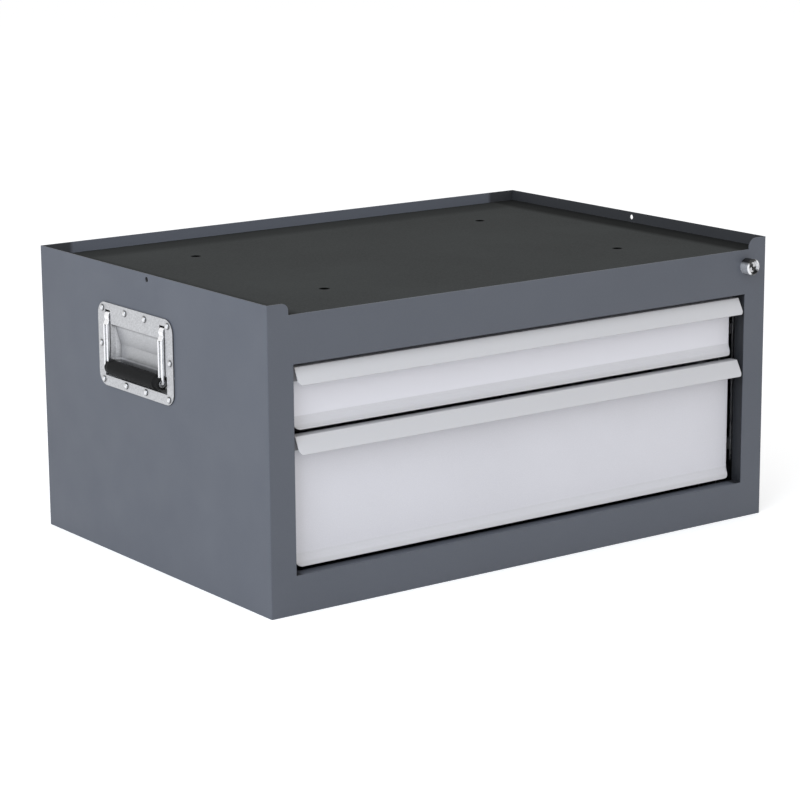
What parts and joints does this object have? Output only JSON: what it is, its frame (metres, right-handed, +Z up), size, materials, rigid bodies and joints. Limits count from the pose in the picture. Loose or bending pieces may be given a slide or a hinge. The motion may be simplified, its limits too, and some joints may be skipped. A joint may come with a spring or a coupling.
{
  "type": "machinist tool chest",
  "caption": "Low steel top chest with full-width drawers on telescopic slides, hooked pull lips, an open tray on top, recessed side handles and a key lock.",
  "frame": {"origin": "centre of the housing's underside, on the surface it stands on", "axes": "+X to the right seen from the front, +Y to the back (the drawers open towards -Y), +Z up"},
  "size_m": [0.68, 0.46, 0.316],
  "materials": {
    "housing_paint": "satin powder coat, grey",
    "mat_rubber": "matt, finely ribbed",
    "inner_zinc": "zinc plated",
    "drawer_paint": "fine powder coat, light grey",
    "liner_rubber": "matt",
    "slide_zinc": "bright zinc plated",
    "cage_steel": "rolled strip",
    "handle_plate": "zinc plated pressing",
    "rivet_steel": "plain",
    "bail_chrome": "bright",
    "grip_rubber": "matt moulded",
    "pin_steel": "drawn",
    "spring_steel": "spring wire",
    "lock_chrome": "bright",
    "plug_chrome": "bright"
  },
  "bodies": {
    "housing": {"side_panel_left": "housing_paint", "side_panel_right": "housing_paint", "back_panel": "housing_paint", "bottom_panel": "housing_paint", "top_panel": "housing_paint", "front_frame": "housing_paint", "top_mat": "mat_rubber", "front_slide_upright_left": "inner_zinc", "rear_slide_upright_left": "inner_zinc", "front_slide_upright_right": "inner_zinc", "rear_slide_upright_right": "inner_zinc", "upper_slide_outer_left": "slide_zinc", "upper_slide_outer_right": "slide_zinc", "lower_slide_outer_left": "slide_zinc", "lower_slide_outer_right": "slide_zinc", "left_handle_dish": "handle_plate", "left_handle_rivets": "rivet_steel", "left_handle_pin": "pin_steel", "left_handle_spring": "spring_steel", "right_handle_dish": "handle_plate", "right_handle_rivets": "rivet_steel", "right_handle_pin": "pin_steel", "right_handle_spring": "spring_steel", "lock_barrel": "lock_chrome", "lock_nut": "inner_zinc", "lock_bar_guides": "inner_zinc"},
    "upper_drawer": {"upper_drawer_front": "drawer_paint", "upper_drawer_tray": "drawer_paint", "upper_drawer_liner": "liner_rubber", "upper_slide_inner_left": "slide_zinc", "upper_slide_inner_right": "slide_zinc", "upper_lock_catch": "inner_zinc"},
    "upper_slide_middles": {"upper_slide_middle_left": "slide_zinc", "upper_slide_middle_right": "slide_zinc"},
    "upper_outer_cages": {"upper_outer_ball_cages": "cage_steel"},
    "upper_inner_cages": {"upper_inner_ball_cages": "cage_steel"},
    "lower_drawer": {"lower_drawer_front": "drawer_paint", "lower_drawer_tray": "drawer_paint", "lower_drawer_liner": "liner_rubber", "lower_slide_inner_left": "slide_zinc", "lower_slide_inner_right": "slide_zinc", "lower_lock_catch": "inner_zinc"},
    "lower_slide_middles": {"lower_slide_middle_left": "slide_zinc", "lower_slide_middle_right": "slide_zinc"},
    "lower_outer_cages": {"lower_outer_ball_cages": "cage_steel"},
    "lower_inner_cages": {"lower_inner_ball_cages": "cage_steel"},
    "left_bail": {"left_handle_bail": "bail_chrome", "left_handle_grip": "grip_rubber"},
    "right_bail": {"right_handle_bail": "bail_chrome", "right_handle_grip": "grip_rubber"},
    "lock_plug": {"lock_plug": "plug_chrome", "lock_cam": "inner_zinc", "cam_screw": "inner_zinc"},
    "lock_bar": {"lock_bar": "inner_zinc"}
  },
  "joints": [
    {"name": "upper_drawer_slide", "type": "slide", "parent": "housing", "child": "upper_drawer", "axis": [0, -1, 0], "range_m": [0, 0.4]},
    {"name": "upper_slide_middles_slide", "type": "slide", "parent": "housing", "child": "upper_slide_middles", "axis": [0, -1, 0], "range_m": [0, 0.2]},
    {"name": "upper_outer_cages_slide", "type": "slide", "parent": "housing", "child": "upper_outer_cages", "axis": [0, -1, 0], "range_m": [0, 0.1]},
    {"name": "upper_inner_cages_slide", "type": "slide", "parent": "housing", "child": "upper_inner_cages", "axis": [0, -1, 0], "range_m": [0, 0.3]},
    {"name": "lower_drawer_slide", "type": "slide", "parent": "housing", "child": "lower_drawer", "axis": [0, -1, 0], "range_m": [0, 0.4]},
    {"name": "lower_slide_middles_slide", "type": "slide", "parent": "housing", "child": "lower_slide_middles", "axis": [0, -1, 0], "range_m": [0, 0.2]},
    {"name": "lower_outer_cages_slide", "type": "slide", "parent": "housing", "child": "lower_outer_cages", "axis": [0, -1, 0], "range_m": [0, 0.1]},
    {"name": "lower_inner_cages_slide", "type": "slide", "parent": "housing", "child": "lower_inner_cages", "axis": [0, -1, 0], "range_m": [0, 0.3]},
    {"name": "left_bail_swing", "type": "hinge", "parent": "housing", "child": "left_bail", "pos_m": [-0.3269, 0.0246, 0.2594], "axis": [0, 1, 0], "range_deg": [0, 90], "stiffness_Nm_per_rad": 0.15, "springref_deg": -28.65},
    {"name": "right_bail_swing", "type": "hinge", "parent": "housing", "child": "right_bail", "pos_m": [0.3269, 0.0246, 0.2594], "axis": [0, -1, 0], "range_deg": [0, 90], "stiffness_Nm_per_rad": 0.15, "springref_deg": -28.65},
    {"name": "lock_turn", "type": "hinge", "parent": "housing", "child": "lock_plug", "pos_m": [0.3015, -0.224, 0.286], "axis": [0, 1, 0], "range_deg": [0, 90]},
    {"name": "lock_bar_lift", "type": "slide", "parent": "housing", "child": "lock_bar", "axis": [0, 0, -1], "range_m": [0, 0.0106]}
  ],
  "couplings": [
    {"joint": "upper_slide_middles_slide", "follows": "upper_drawer_slide", "ratio": 0.5},
    {"joint": "upper_outer_cages_slide", "follows": "upper_drawer_slide", "ratio": 0.25},
    {"joint": "upper_inner_cages_slide", "follows": "upper_drawer_slide", "ratio": 0.75},
    {"joint": "lower_slide_middles_slide", "follows": "lower_drawer_slide", "ratio": 0.5},
    {"joint": "lower_outer_cages_slide", "follows": "lower_drawer_slide", "ratio": 0.25},
    {"joint": "lower_inner_cages_slide", "follows": "lower_drawer_slide", "ratio": 0.75},
    {"joint": "lock_turn", "follows": "lock_bar_lift", "rad_per_m": 148.1}
  ]
}
